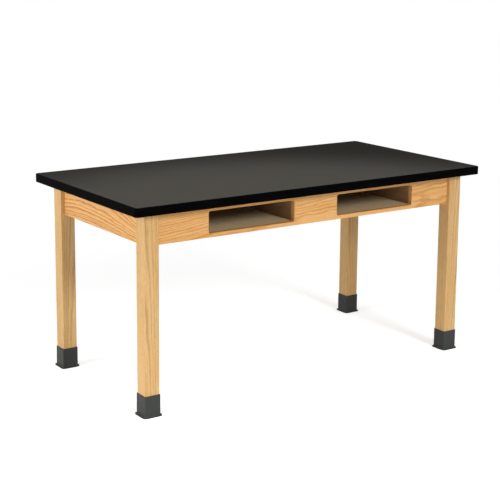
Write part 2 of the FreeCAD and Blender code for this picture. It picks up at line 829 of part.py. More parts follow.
def make_cleat_screws():
    """Two screws up through each cleat into the core."""
    screw = make_screw("cleat_screw", "cleat_screw_shank", "cleat_screw_length")
    spots = [(x, y) for x in ("-cleat_x", "cleat_x") for y in ("cleat_screw_front", "cleat_screw_rear")]
    four = copies("compartment_screws", [placed(screw, x, y, "cleat_bottom") for x, y in spots])
    both = [placed(four, middle) for middle in ("left_opening_x", "right_opening_x")]
    return keep("cleat_screws", copies("cleat_screw_group", both))


# Levellers

def turned_piece(name, outline):
    """A piece turned about Z, from its half section in x and z."""
    body = new_body(name)
    sketch = new_sketch(body, "XZ_Plane")
    draw_polygon(sketch, outline)
    revolve(body, sketch, "V_Axis")
    return body


def make_insert():
    """A flanged threaded insert in the end of the leg."""
    return turned_piece("insert", [
        ("insert_bore_radius", "flange_bottom"), ("insert_flange_radius", "flange_bottom"),
        ("insert_flange_radius", "leg_bottom"), ("insert_radius", "leg_bottom"),
        ("insert_radius", "insert_top"), ("insert_bore_radius", "insert_top"),
    ])


def make_stem(label, x, y):
    """A threaded stem with a hexagon collar for a spanner and a spigot that turns in the pad."""
    body = turned_piece(f"{label}_rod", [
        ("0", "spigot_bottom"), ("spigot_radius", "spigot_bottom"), ("spigot_radius", "pad_height"),
        ("stem_radius", "pad_height"), ("stem_radius", "stem_chamfer_start"),
        ("stem_tip_radius", "stem_top"), ("0", "stem_top"),
    ])
    sketch = new_sketch(body, "XY_Plane", "pad_height")
    draw_hexagon(sketch, "collar_half_flats", "collar_corner", "collar_half_corner")
    pad(body, sketch, "collar_thickness")
    place(body, x, y)
    keep(label, body)


def make_foot_pad(label, x, y):
    """A round foot with a cone up to the boss that holds the stem's spigot."""
    body = turned_piece(f"{label}_disc", [
        ("0", "0"), ("pad_foot_radius", "0"), ("pad_radius", "pad_chamfer"), ("pad_radius", "pad_rim"),
        ("pad_boss_radius", "pad_height"), ("socket_radius", "pad_height"),
        ("socket_radius", "socket_floor"), ("0", "socket_floor"),
    ])
    place(body, x, y)
    keep(label, body)


# Boots

def make_boot(label, x, y):
    """A moulded square sleeve round the leg's foot, with a coved flange on the floor."""
    body = new_body(f"{label}_sleeve")
    foot = new_sketch(body, "XY_Plane")
    draw_square(foot, "boot_flange_half")
    pad(body, foot, "boot_flange_thickness")
    fillet(body, "boot_flange_corner_radius", upright)
    sleeve = new_sketch(body, "XY_Plane")
    draw_square(sleeve, "boot_half")
    pad(body, sleeve, "boot_height")
    half = size("boot_half")
    step = size("boot_flange_thickness")
    fillet(body, "boot_corner_radius", lambda box: upright(box) and near(widest(box), half))
    fillet(body, "boot_cove_radius", lambda box: at_level(step)(box) and widest(box) < half + SNAP)
    fillet(body, "boot_rim_radius", at_level(size("boot_height")))
    bore = new_sketch(body, "XY_Plane")
    draw_square(bore, "boot_bore_half")
    pocket(body, bore)
    inside = size("boot_bore_half")
    fillet(body, "boot_bore_corner_radius", lambda box: upright(box) and near(widest(box), inside))
    place(body, x, y)
    keep(label, body)


# The whole table

def make_table():
    screw = make_screw("screw", "screw_shank", "screw_length")
    bracket_screws = make_bracket_screws(screw)
    at_clip_places("top_clips", make_clip())
    clip_screws = make_clip_screws(screw)
    cleat_screws = make_cleat_screws()
    bolts = on_the_diagonal("hanger_bolts", make_bolt())
    on_the_diagonal("hanger_washers", make_washer())
    on_the_diagonal("hanger_nuts", make_nut())
    make_worktop(make_edge_band(), copies("top_screws", [clip_screws, cleat_screws]))
    make_aprons(bracket_screws, clip_screws)
    make_compartment("left", {"inner": "", "outer": "-"}, cleat_screws)
    make_compartment("right", {"inner": "-", "outer": ""}, cleat_screws)
    keep("leveller_inserts", copies("insert_group", at_corners(make_insert())))
    for corner, angle, x, y in CORNERS:
        make_leg(f"leg_{corner}", angle, x, y, bolts)
        make_bracket(f"corner_bracket_{corner}", angle, x, y)
        make_foot_pad(f"leveller_pad_{corner}", x, y)
        make_stem(f"leveller_stem_{corner}", x, y)
        make_boot(f"boot_{corner}", x, y)
    doc.recompute()


def check():
    """Stop on a failed object, and on a sub-part with no sound solid."""
    failed = [item.Name for item in doc.Objects if {"Invalid", "Error"} & set(item.State)]
    if failed:
        raise RuntimeError(f"failed objects: {failed}")
    for label, item in nodes.items():
        if item.Shape.isNull() or not item.Shape.isValid() or not item.Shape.Solids:
            raise RuntimeError(f"{label} has no sound solid")


def write_parts():
    os.makedirs("parts", exist_ok=True)
    for label, item in sorted(nodes.items()):
        item.Shape.exportStep(f"parts/{label}.step")
        print(label, len(item.Shape.Solids), round(item.Shape.Volume))


fill_sheet()
make_table()
check()
write_parts()
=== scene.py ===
import math

import bmesh
import bpy
from bpy.props import FloatProperty, FloatVectorProperty, PointerProperty
from mathutils import Matrix, Vector


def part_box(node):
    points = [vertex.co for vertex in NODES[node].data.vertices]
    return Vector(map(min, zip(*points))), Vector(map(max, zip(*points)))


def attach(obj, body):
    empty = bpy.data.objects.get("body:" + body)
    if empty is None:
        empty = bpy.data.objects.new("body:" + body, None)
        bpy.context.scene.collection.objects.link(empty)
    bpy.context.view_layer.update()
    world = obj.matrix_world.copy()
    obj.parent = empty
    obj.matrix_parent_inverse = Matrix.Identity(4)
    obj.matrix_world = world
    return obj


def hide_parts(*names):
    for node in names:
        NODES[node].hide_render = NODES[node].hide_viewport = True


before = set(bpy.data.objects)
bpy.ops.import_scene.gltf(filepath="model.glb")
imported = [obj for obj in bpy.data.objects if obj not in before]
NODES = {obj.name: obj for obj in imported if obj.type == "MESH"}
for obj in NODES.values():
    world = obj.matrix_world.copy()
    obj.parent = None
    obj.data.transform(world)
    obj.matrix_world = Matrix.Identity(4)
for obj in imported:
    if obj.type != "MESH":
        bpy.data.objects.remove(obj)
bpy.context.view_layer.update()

bl_info = {
    "name": "Science lab table",
    "version": (1, 0, 0),
    "blender": (4, 5, 0),
    "location": "3D View > Sidebar > Lab table",
    "description": "Fasteners, finishes and a studio for the laboratory table in the loaded frame",
    "category": "Object",
}

# Lengths are in metres, and angles in radians
MM = 0.001
FULL_TURN = 2 * math.pi

CORNERS = ("front_left", "front_right", "rear_right", "rear_left")
TABLE = "table"

# Sheets of veneer in a plywood board, and how high up a boot its scuffs reach
PLIES = 7
SCUFF_HEIGHT = 18 * MM

# Rings that a thread is drawn with in one turn, and the turned face of a hexagon, as a share of its flats
ROWS_PER_TURN = 8
TURNED_SHARE = 0.99

# How near two points of a solid's mesh are one, and how far in from a screw's end its width is measured
MERGE_DISTANCE = 0.001 * MM
END_SLICE = 1 * MM

# Edges that turn by more than this stay sharp
SHARP_ANGLE = math.radians(35)


def seen(red, green, blue):
    """A colour as it is read off a screen, 0 to 255, turned into the linear values that shaders take."""
    channels = [value / 255 for value in (red, green, blue)]
    return tuple(c / 12.92 if c <= 0.04045 else ((c + 0.055) / 1.055) ** 2.4 for c in channels)


# Colours of single chips, marks and wear
PALE_CHIP = seen(190, 158, 116)
DARK_CHIP = seen(150, 114, 76)
RUBBED_EDGE = seen(30, 30, 32)
SCUFF = seen(120, 120, 115)
FLOW_MARK = seen(70, 70, 72)
TARNISH = seen(188, 184, 168)
BLACK = (0.0, 0.0, 0.0)
WHITE = (1.0, 1.0, 1.0)


# Sizes and colours that a user would change

class FastenerSizes(bpy.types.PropertyGroup):
    """Sizes of the threads and recesses that the solids leave out."""

    leveller_pitch: FloatProperty(
        name="Leveller pitch", description="Rise of the leveller stem's thread in one turn",
        default=1.5 * MM, unit="LENGTH")
    leveller_thread_depth: FloatProperty(
        name="Leveller thread depth", description="Depth of the leveller stem's thread",
        default=0.8 * MM, unit="LENGTH")
    bolt_pitch: FloatProperty(
        name="Bolt pitch", description="Rise of the hanger bolt's machine thread in one turn",
        default=1.25 * MM, unit="LENGTH")
    bolt_thread_depth: FloatProperty(
        name="Bolt thread depth", description="Depth of the hanger bolt's machine thread",
        default=0.65 * MM, unit="LENGTH")
    recess_reach: FloatProperty(
        name="Recess reach", description="From the middle of a screw head to the end of its cross recess",
        default=2.3 * MM, unit="LENGTH")
    recess_width: FloatProperty(
        name="Recess width", description="Width of an arm of the cross recess",
        default=1.1 * MM, unit="LENGTH")
    recess_depth: FloatProperty(
        name="Recess depth", description="Depth of the cross recess in a screw head",
        default=1.5 * MM, unit="LENGTH")


class FinishColours(bpy.types.PropertyGroup):
    """Colours of the table's materials."""

    oak_late: FloatVectorProperty(
        name="Oak, latewood", description="The lighter, denser part of each growth ring",
        default=seen(238, 185, 119), subtype="COLOR")
    oak_early: FloatVectorProperty(
        name="Oak, earlywood", description="The darker, open-pored line of each growth ring",
        default=seen(186, 118, 52), subtype="COLOR")
    oak_rose: FloatVectorProperty(
        name="Oak, rosy", description="The warmer heartwood that runs through a board in patches",
        default=seen(230, 169, 99), subtype="COLOR")
    leg_late: FloatVectorProperty(
        name="Legs, latewood", description="The latewood of the legs, which come from other stock",
        default=seen(227, 188, 131), subtype="COLOR")
    leg_early: FloatVectorProperty(
        name="Legs, earlywood", description="The open-pored line of each growth ring in the legs",
        default=seen(170, 124, 70), subtype="COLOR")
    leg_rose: FloatVectorProperty(
        name="Legs, rosy", description="The deeper patches that run down the legs",
        default=seen(224, 176, 112), subtype="COLOR")
    # Painted light: the floors' veneer is paler than the walls' to stand in for the light that falls in
    # through the openings onto the floors
    painted_lit_floor_veneer: FloatVectorProperty(
        name="Floor veneer", description="Paler face veneer of the compartments' floors",
        default=seen(240, 217, 174), subtype="COLOR")
    veneer: FloatVectorProperty(
        name="Veneer", description="Face veneer of the compartments' plywood",
        default=seen(182, 148, 110), subtype="COLOR")
    laminate: FloatVectorProperty(
        name="Laminate", description="The worktop's charcoal surface",
        default=seen(65, 63, 59), subtype="COLOR")
    edge_band: FloatVectorProperty(
        name="Edge band", description="The near-black moulded edge of the worktop",
        default=seen(5, 5, 6), subtype="COLOR")
    backer: FloatVectorProperty(
        name="Backer", description="The balancing sheet under the worktop",
        default=seen(96, 78, 62), subtype="COLOR")
    boot: FloatVectorProperty(
        name="Boot", description="The dark grey vinyl of the leg boots",
        default=seen(62, 64, 62), subtype="COLOR")
    nylon: FloatVectorProperty(
        name="Nylon", description="The black nylon of the leveller pads",
        default=seen(34, 34, 35), subtype="COLOR")
    zinc: FloatVectorProperty(
        name="Zinc", description="Bright zinc plate on the steel pieces",
        default=seen(206, 206, 202), subtype="COLOR")


class StudioSettings(bpy.types.PropertyGroup):
    """The camera, the lamps and the level of light."""

    camera_place: FloatVectorProperty(
        name="Camera place", description="Where the camera stands",
        default=(-2.7236, -3.8814, 1.5741), subtype="TRANSLATION", unit="LENGTH")
    yaw: FloatProperty(
        name="Yaw", description="How far the camera looks to the right of straight back",
        default=math.radians(34.49), subtype="ANGLE")
    pitch: FloatProperty(
        name="Pitch", description="How far the camera looks down",
        default=math.radians(10.49), subtype="ANGLE")
    roll: FloatProperty(
        name="Roll", description="How far the camera leans to its right",
        default=math.radians(-0.48), subtype="ANGLE")
    lens: FloatProperty(
        name="Lens", description="Focal length in millimetres for a sensor 36 mm wide",
        default=91.445)
    shift: FloatProperty(
        name="Shift", description="Vertical shift of the picture, as a share of its width",
        default=-0.14)
    ambient: FloatProperty(
        name="Ambient light", description="Strength of the light that comes from all round",
        default=0.33)
    key_power: FloatProperty(
        name="Key lamp", description="Power of the square lamp that stands high in front of the table",
        default=352.0, unit="POWER")
    side_power: FloatProperty(
        name="Side lamp", description="Power of the square lamp that stands to the left",
        default=93.0, unit="POWER")
    top_power: FloatProperty(
        name="Top lamp", description="Power of the spot lamp that hangs over the front of the table",
        default=1560.0, unit="POWER")


# Materials: shader sums written as Python expressions

class Signal:
    """An output socket of a node. Sums of signals and numbers add their Math nodes."""

    def __init__(self, finish, socket):
        self.finish = finish
        self.socket = socket

    def maths(self, operation, first, second=0.0):
        return self.finish.add("ShaderNodeMath", {"operation": operation}, {0: first, 1: second})

    def __add__(self, other):
        return self.maths("ADD", self, other)

    def __sub__(self, other):
        return self.maths("SUBTRACT", self, other)

    def __rsub__(self, other):
        return self.maths("SUBTRACT", other, self)

    def __mul__(self, other):
        return self.maths("MULTIPLY", self, other)

    def __truediv__(self, other):
        return self.maths("DIVIDE", self, other)

    def __rtruediv__(self, other):
        return self.maths("DIVIDE", other, self)

    __radd__ = __add__
    __rmul__ = __mul__

    def fraction(self):
        return self.maths("FRACT", self)

    def at_most(self, limit):
        return self.maths("MINIMUM", self, limit)


class Finish:
    """The nodes of a material or of the world, and the one method that adds any of them."""

    def __init__(self, name, kind="materials"):
        self.owner = getattr(bpy.data, kind).new(name)
        self.owner.use_nodes = True
        self.tree = self.owner.node_tree
        self.tree.nodes.clear()

    def add(self, kind, settings=None, inputs=None, output=0):
        """Add a node, set it up, then fill its sockets with numbers, colours or signals."""
        node = self.tree.nodes.new(kind)
        for name, value in (settings or {}).items():
            if name == "stops":
                self.fill_ramp(node.color_ramp, value)
            else:
                setattr(node, name, value)
        for key, value in (inputs or {}).items():
            socket = node.inputs[key]
            if isinstance(value, Signal):
                self.tree.links.new(value.socket, socket)
            elif socket.type == "RGBA":
                socket.default_value = (*value, 1.0)
            else:
                socket.default_value = value
        return Signal(self, node.outputs[output]) if node.outputs else None

    @staticmethod
    def fill_ramp(ramp, stops):
        """Give a ramp its stops, pairs of a place from 0 to 1 and a grey level."""
        while len(ramp.elements) < len(stops):
            ramp.elements.new(1.0)
        for element, (place, level) in zip(ramp.elements, stops):
            element.position = place
            element.color = (level, level, level, 1.0)

    def mapped(self, centre=(0, 0, 0), turn=(0, 0, 0)):
        """Places on the object, measured from a centre along turned axes."""
        position = self.add("ShaderNodeTexCoord", output="Object")
        placing = {"Vector": position, "Location": centre, "Rotation": turn}
        return self.add("ShaderNodeMapping", {"vector_type": "TEXTURE"}, placing)

    def vector(self, operation, first, second):
        return self.add("ShaderNodeVectorMath", {"operation": operation}, {0: first, 1: second})

    def scaled(self, vector, factors):
        return self.vector("MULTIPLY", vector, factors)

    def length(self, vector):
        return self.add("ShaderNodeVectorMath", {"operation": "LENGTH"}, {0: vector}, output="Value")

    def component(self, vector, axis):
        return self.add("ShaderNodeSeparateXYZ", inputs={0: vector}, output=axis)

    def noise(self, where, spot, detail=2.0, output=0):
        """Soft blotches about as wide as spot."""
        values = {"Vector": where, "Scale": 1 / spot, "Detail": detail}
        return self.add("ShaderNodeTexNoise", inputs=values, output=output)

    def speckle(self, where, spot):
        """Cells about as wide as spot, each with a random level."""
        values = {"Vector": where, "Scale": 1 / spot}
        colour = self.add("ShaderNodeTexVoronoi", inputs=values, output="Color")
        return self.add("ShaderNodeSeparateColor", inputs={0: colour})

    def ramp(self, signal, *stops):
        return self.add("ShaderNodeValToRGB", {"stops": stops}, {0: signal})

    def mix(self, factor, first, second):
        """Blend two colours."""
        return self.add("ShaderNodeMix", {"data_type": "RGBA"}, {0: factor, 6: first, 7: second}, output=2)

    def shade(self, colour, signal, depth):
        """A colour, darker by up to depth where the signal is 1."""
        return self.mix(signal * depth, colour, BLACK)

    def bump(self, height, distance, strength):
        values = {"Height": height, "Distance": distance, "Strength": strength}
        return self.add("ShaderNodeBump", inputs=values)

    def mix_shaders(self, factor, first, second):
        return self.add("ShaderNodeMixShader", inputs={0: factor, 1: first, 2: second})

    def surface(self, **sockets):
        """Close the material with a Principled shader; Base_Color stands for the socket Base Color."""
        inputs = {name.replace("_", " "): value for name, value in sockets.items()}
        shader = self.add("ShaderNodeBsdfPrincipled", inputs=inputs)
        self.add("ShaderNodeOutputMaterial", inputs={"Surface": shader})
        return self.owner


# Which way a board's grain runs: the turn that lays the material's Z axis along it
GRAIN_TURNS = {
    "X": (0.0, math.pi / 2, 0.0),
    "Y": (-math.pi / 2, 0.0, 0.0),
    "Z": (0.0, 0.0, 0.0),
}


def middle_of(node):
    low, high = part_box(node)
    return (low + high) / 2


def growth_rings(finish, grain, spacing, wander, lean=(0.0, 0.0), bow=(0.0, 0.0)):
    """The dark line of each growth ring, 0 to 1, round the Z axis of the grain.

    lean is the slope at which the pith leaves that axis, and bow how fast it curves away, per metre. Each is
    a pair, for the X and the Y axis of the grain.
    """
    along = finish.component(grain, "Z")
    bent = [along * slope + along * along * curve for slope, curve in zip(lean, bow)]
    pith = finish.add("ShaderNodeCombineXYZ", inputs={"X": bent[0], "Y": bent[1]})
    for swing, spot, stretch in ((wander, 90 * MM, 0.16), (wander * 0.4, 34 * MM, 0.35)):
        drift = finish.noise(finish.scaled(grain, (1.0, 1.0, stretch)), spot, detail=1.0, output="Color")
        level = finish.vector("SUBTRACT", drift, (0.5, 0.5, 0.5))
        pith = finish.vector("ADD", pith, finish.scaled(level, (swing, swing, 0.0)))
    radius = finish.length(finish.scaled(finish.vector("SUBTRACT", grain, pith), (1.0, 1.0, 0.0)))
    years = finish.add("ShaderNodeCombineXYZ", inputs={"X": radius})
    good_years = finish.noise(years, spot=14 * MM)
    ragged = finish.noise(finish.scaled(grain, (1.0, 1.0, 0.08)), spot=4 * MM)
    ring = radius / spacing + good_years * 2.4 + ragged * 0.5
    line = finish.ramp(ring.fraction(), (0.0, 1.0), (0.15, 0.8), (0.36, 0.15), (0.84, 0.0), (1.0, 1.0))
    return line * (finish.noise(years, spot=7 * MM) * 1.5 + 0.1)


def make_oak(name, node, stock, along, pith, spacing, wander, figure, **run):
    """Red oak under satin lacquer, from stock: the colours of its latewood, rosy wood and earlywood.

    pith is where the tree's middle ran, in millimetres from the middle of the board. figure is how strongly
    the rings show. run holds the pith's lean and bow.
    """
    late, rosy, early = stock
    finish = Finish(name)
    grain = finish.mapped(middle_of(node) + Vector(pith) * MM, GRAIN_TURNS[along])
    rings = growth_rings(finish, grain, spacing, wander, **run)
    fibres = finish.noise(finish.scaled(grain, (1.0, 1.0, 0.035)), spot=1.6 * MM, detail=3.0)
    bands = finish.noise(finish.scaled(grain, (1.0, 1.0, 0.06)), spot=16 * MM, detail=1.0)
    pore_field = finish.noise(finish.scaled(grain, (1.0, 1.0, 0.05)), spot=0.45 * MM, detail=0.0)
    pores = finish.ramp(pore_field, (0.56, 0.0), (0.66, 1.0)) * (rings * 0.8 + 0.2)
    body = finish.mix(finish.ramp(bands, (0.38, 0.0), (0.64, 0.7)), late, rosy)
    ringed = finish.mix(rings * figure, body, early)
    streaked = finish.shade(ringed, finish.ramp(fibres, (0.35, 0.0), (0.75, 1.0)), depth=0.16)
    relief = 1.0 - pores - fibres * 0.25
    return finish.surface(
        Base_Color=finish.shade(streaked, pores, depth=0.42),
        Roughness=pores * 0.2 + 0.4,
        Normal=finish.bump(relief, distance=0.12 * MM, strength=0.6),
        Specular_IOR_Level=0.12,
    )


def make_plywood(name, node, veneer, across, along):
    """Plywood: veneer with grain on its faces, and its plies in stripes along its edges."""
    finish = Finish(name)
    low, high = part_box(node)
    thickness = (high - low)["XYZ".index(across)]
    ply = finish.component(finish.mapped(low), across) / (thickness / PLIES)
    inner = finish.ramp((ply * 0.5).fraction(), (0.46, 0.0), (0.5, 1.0), (0.96, 1.0), (1.0, 0.0))
    skin = finish.ramp(ply / PLIES, (0.02, 0.0), (0.04, 1.0), (0.96, 1.0), (0.98, 0.0))
    grain = finish.mapped(middle_of(node), GRAIN_TURNS[along])
    from_pith = finish.vector("ADD", grain, (60 * MM, 45 * MM, 0.0))
    rings = growth_rings(finish, from_pith, spacing=7 * MM, wander=60 * MM)
    fibres = finish.noise(finish.scaled(grain, (1.0, 1.0, 0.04)), spot=1.2 * MM, detail=3.0)
    figured = finish.shade(veneer, rings, depth=0.18)
    streaked = finish.shade(figured, finish.ramp(fibres, (0.3, 0.0), (0.75, 1.0)), depth=0.2)
    return finish.surface(
        Base_Color=finish.shade(streaked, inner * skin, depth=0.35),
        Roughness=fibres * 0.2 + 0.55,
        Normal=finish.bump(fibres - inner * skin, distance=0.15 * MM, strength=0.5),
        Specular_IOR_Level=0.3,
    )


def make_particleboard():
    """Pressed wood chips, as the cut edge and the screw holes of the core show them."""
    finish = Finish("pressed_chips")
    chips = finish.speckle(finish.scaled(finish.mapped(), (1.0, 1.0, 2.2)), spot=2.6 * MM)
    dust = finish.noise(finish.mapped(), spot=0.8 * MM, detail=4.0)
    return finish.surface(
        Base_Color=finish.shade(finish.mix(chips, PALE_CHIP, DARK_CHIP), dust, depth=0.35),
        Roughness=chips * 0.1 + 0.8,
        Normal=finish.bump(chips + dust, distance=0.3 * MM, strength=0.6),
    )


def make_laminate():
    """High-pressure laminate with a fine, hard texture and hardly any sheen."""
    colours = bpy.context.scene.lab_table_colours
    finish = Finish("textured_laminate")
    where = finish.mapped()
    pebble = finish.noise(where, spot=1.1 * MM, detail=3.0)
    cloud = finish.noise(where, spot=160 * MM)
    wiped = finish.noise(finish.scaled(where, (0.25, 1.0, 1.0)), spot=45 * MM)
    pebbled = finish.shade(colours.laminate, finish.ramp(pebble, (0.4, 0.0), (0.7, 1.0)), depth=0.2)
    return finish.surface(
        Base_Color=finish.shade(pebbled, cloud, depth=0.08),
        Roughness=wiped * 0.12 + pebble * 0.1 + 0.5,
        Normal=finish.bump(pebble, distance=0.05 * MM, strength=0.5),
        Specular_IOR_Level=0.0,
    )


def make_edge_band_finish():
    """Moulded edge: near black and satin, with faint marks along it from handling."""
    colours = bpy.context.scene.lab_table_colours
    finish = Finish("moulded_edge")
    where = finish.mapped()
    grain = finish.noise(where, spot=0.9 * MM)
    rubbed = finish.noise(finish.scaled(where, (1.0, 1.0, 6.0)), spot=60 * MM, detail=3.0)
    marks = finish.ramp(rubbed, (0.5, 0.0), (0.8, 0.12))
    return finish.surface(
        Base_Color=finish.mix(marks, colours.edge_band, RUBBED_EDGE),
        Roughness=rubbed * 0.2 + 0.28,
        Normal=finish.bump(grain, distance=0.03 * MM, strength=0.4),
        Specular_IOR_Level=0.005,
    )


def make_backer_finish():
    """Brown balancing sheet with the paper's cloudy look."""
    colours = bpy.context.scene.lab_table_colours
    finish = Finish("balancing_paper")
    where = finish.mapped()
    paper = finish.noise(where, spot=12 * MM, detail=5.0)
    tooth = finish.noise(where, spot=0.6 * MM)
    return finish.surface(
        Base_Color=finish.shade(colours.backer, paper, depth=0.35),
        Roughness=paper * 0.2 + 0.55,
        Normal=finish.bump(tooth, distance=0.05 * MM, strength=0.4),
    )


def make_boot_finish():
    """Moulded vinyl with a fine grain, scuffed paler near the floor."""
    colours = bpy.context.scene.lab_table_colours
    finish = Finish("boot_vinyl")
    where = finish.mapped()
    grain = finish.noise(where, spot=0.7 * MM, detail=3.0)
    mottle = finish.noise(where, spot=14 * MM, detail=3.0)
    low_down = finish.ramp(finish.component(where, "Z") / SCUFF_HEIGHT, (0.0, 1.0), (1.0, 0.0))
    scuffs = finish.ramp(finish.noise(where, spot=5 * MM, detail=4.0), (0.55, 0.0), (0.7, 1.0)) * low_down
    return finish.surface(
        Base_Color=finish.mix(scuffs * 0.25, finish.shade(colours.boot, mottle, depth=0.15), SCUFF),
        Roughness=mottle * 0.14 + scuffs * 0.2 + 0.38,
        Normal=finish.bump(grain, distance=0.06 * MM, strength=0.5),
        Specular_IOR_Level=0.1,
    )


def make_nylon_finish():
    """Moulded nylon, slightly frosted."""
    colours = bpy.context.scene.lab_table_colours
    finish = Finish("moulded_nylon")
    where = finish.mapped()
    frost = finish.noise(where, spot=0.5 * MM, detail=3.0)
    flow = finish.noise(where, spot=9 * MM)
    return finish.surface(
        Base_Color=finish.mix(flow * 0.2, colours.nylon, FLOW_MARK),
        Roughness=frost * 0.15 + 0.42,
        Normal=finish.bump(frost, distance=0.04 * MM, strength=0.4),
    )


def make_zinc_finish():
    """Bright zinc plate: soft spangle in the colour and rolling marks in the gloss."""
    colours = bpy.context.scene.lab_table_colours
    finish = Finish("bright_zinc")
    where = finish.mapped()
    spangle = finish.speckle(where, spot=3.5 * MM)
    tarnish = finish.noise(where, spot=22 * MM, detail=3.0)
    rolled = finish.noise(finish.scaled(where, (1.0, 1.0, 0.08)), spot=0.6 * MM)
    colour = finish.mix(tarnish * 0.5, colours.zinc, TARNISH)
    return finish.surface(
        Base_Color=finish.shade(colour, spangle, depth=0.1),
        Metallic=1.0,
        Roughness=spangle * 0.08 + rolled * 0.12 + 0.26,
        Normal=finish.bump(rolled, distance=0.02 * MM, strength=0.5),
    )


def zinc_plate():
    """The zinc that all steel pieces share, made the first time that it is asked for."""
    return bpy.data.materials.get("bright_zinc") or make_zinc_finish()


def dress(node, material):
    """Give a CAD node its material."""
    for slot in NODES[node].material_slots:
        slot.material = material


# Turned pieces, built as a stack of rings that are each drawn out to an outline

def circle(radius):
    return lambda angle: radius


def hexagon(flats):
    """Outline of a hexagon, flats wide, with a corner on the X axis."""
    return lambda angle: flats / 2 / math.cos((angle + FULL_TURN) % (FULL_TURN / 6) - FULL_TURN / 12)


def cross(reach, width):
    """Outline of a cross with square arms."""
    def outline(angle):
        near, far = sorted((abs(math.sin(angle)), abs(math.cos(angle))))
        along_arm = reach / far
        arm_side = width / 2 / near if near > 0 else along_arm
        return max(min(along_arm, arm_side), width / 2 / far)
    return outline


def thread(radius, depth, pitch, height):
    """Outline of a screw thread where it is cut across at a height."""
    def outline(angle):
        phase = (height / pitch - angle / FULL_TURN) % 1.0
        return radius - depth * abs(2 * phase - 1)
    return outline


def threaded(radius, depth, pitch, low, high):
    """Rings of a screw thread from low to high."""
    rows = round((high - low) / pitch * ROWS_PER_TURN)
    heights = [low + (high - low) * row / rows for row in range(rows + 1)]
    return [(height, thread(radius, depth, pitch, height)) for height in heights]


def stack_rings(levels, sides):
    """A closed form through rings, each a height and an outline that gives the radius at an angle."""
    form = bmesh.new()
    bmesh.ops.create_circle(form, cap_ends=False, radius=1.0, segments=sides)
    edges = form.edges[:]
    ring = form.verts[:]
    for number, (height, outline) in enumerate(levels):
        if number:
            drawn = bmesh.ops.extrude_edge_only(form, edges=edges)["geom"]
            edges = [item for item in drawn if isinstance(item, bmesh.types.BMEdge)]
            ring = [item for item in drawn if isinstance(item, bmesh.types.BMVert)]
        for corner in ring:
            angle = math.atan2(corner.co.y, corner.co.x)
            radius = outline(angle)
            corner.co = Vector((radius * math.cos(angle), radius * math.sin(angle), height))
    bmesh.ops.holes_fill(form, edges=form.edges[:], sides=sides)
    bmesh.ops.recalc_face_normals(form, faces=form.faces[:])
    return form


def islands_of(node):
    """The points of each separate solid in a CAD node."""
    copy = bmesh.new()
    copy.from_mesh(NODES[node].data)
    bmesh.ops.remove_doubles(copy, verts=copy.verts[:], dist=MERGE_DISTANCE)
    waiting = set(copy.verts)
    islands = []
    for first in copy.verts:
        if first not in waiting:
            continue
        waiting.remove(first)
        reached = [first]
        for vert in reached:
            for edge in vert.link_edges:
                neighbour = edge.other_vert(vert)
                if neighbour in waiting:
                    waiting.remove(neighbour)
                    reached.append(neighbour)
        islands.append([vert.co.copy() for vert in reached])
    copy.free()
    return islands


def box_round(points):
    """The low and the high corner of the box round some points."""
    low = Vector([min(values) for values in zip(*points)])
    high = Vector([max(values) for values in zip(*points)])
    return low, high


def seat_along(points, axis):
    """Where a straight piece starts and how long it is: a matrix with Z along it, and its length."""
    turn = axis.to_track_quat("Z", "Y").to_matrix()
    low, high = box_round([turn.transposed() @ point for point in points])
    start = Vector(((low.x + high.x) / 2, (low.y + high.y) / 2, low.z))
    return Matrix.Translation(turn @ start) @ turn.to_4x4(), high.z - low.z


def way_of_screw(points):
    """The direction from a screw's head to its point: along its box, away from its wider end."""
    low, high = box_round(points)
    axis = max(range(3), key=lambda index: high[index] - low[index])
    at_low = [point for point in points if point[axis] < low[axis] + END_SLICE]
    at_high = [point for point in points if point[axis] > high[axis] - END_SLICE]
    middle = (low + high) / 2
    way = Vector([float(index == axis) for index in range(3)])

    def spread(ends):
        return max((point - middle).cross(way).length for point in ends)

    if spread(at_low) <= spread(at_high):
        way[axis] = -1.0
    return way


def upward(points):
    return Vector((0.0, 0.0, 1.0))


def inward(points):
    """The level direction from a corner of the table to its middle, at 45 degrees."""
    middle = sum(points, Vector()) / len(points)
    return Vector((-math.copysign(1, middle.x), -math.copysign(1, middle.y), 0)).normalized()


def join_copies(name, forms):
    """One mesh object from several placed forms, which are freed."""
    mesh = bpy.data.meshes.new(name)
    whole = bmesh.new()
    for form, matrix in forms:
        bmesh.ops.transform(form, matrix=matrix, verts=form.verts[:])
        part = bpy.data.meshes.new("part")
        form.to_mesh(part)
        whole.from_mesh(part)
        bpy.data.meshes.remove(part)
        form.free()
    whole.to_mesh(mesh)
    whole.free()
    piece = bpy.data.objects.new(name, mesh)
    bpy.context.scene.collection.objects.link(piece)
    return piece


def rebuild(node, name, body, way_of, maker):
    """One new zinc piece for a CAD node, with each of its solids made again at its length and in its place.

    way_of gives the direction of a solid from its points, and maker its form from its length.
    """
    forms = []
    for points in islands_of(node):
        matrix, length = seat_along(points, way_of(points))
        forms.append((maker(length), matrix))
    piece = join_copies(name, forms)
    piece.data.materials.append(zinc_plate())
    piece.data.shade_smooth()
    piece.data.set_sharp_from_angle(angle=SHARP_ANGLE)
    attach(piece, body)
    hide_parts(node)


# Operators, one for each piece or group of like pieces

class LABTABLE_OT_worktop(bpy.types.Operator):
    """Finish the worktop's laminate, edge band, core and backer"""
    bl_idname = "lab_table.worktop"
    bl_label = "Worktop"

    def execute(self, context):
        dress("worktop_laminate", make_laminate())
        dress("worktop_edge_band", make_edge_band_finish())
        dress("worktop_core", make_particleboard())
        dress("worktop_backer", make_backer_finish())
        return {"FINISHED"}


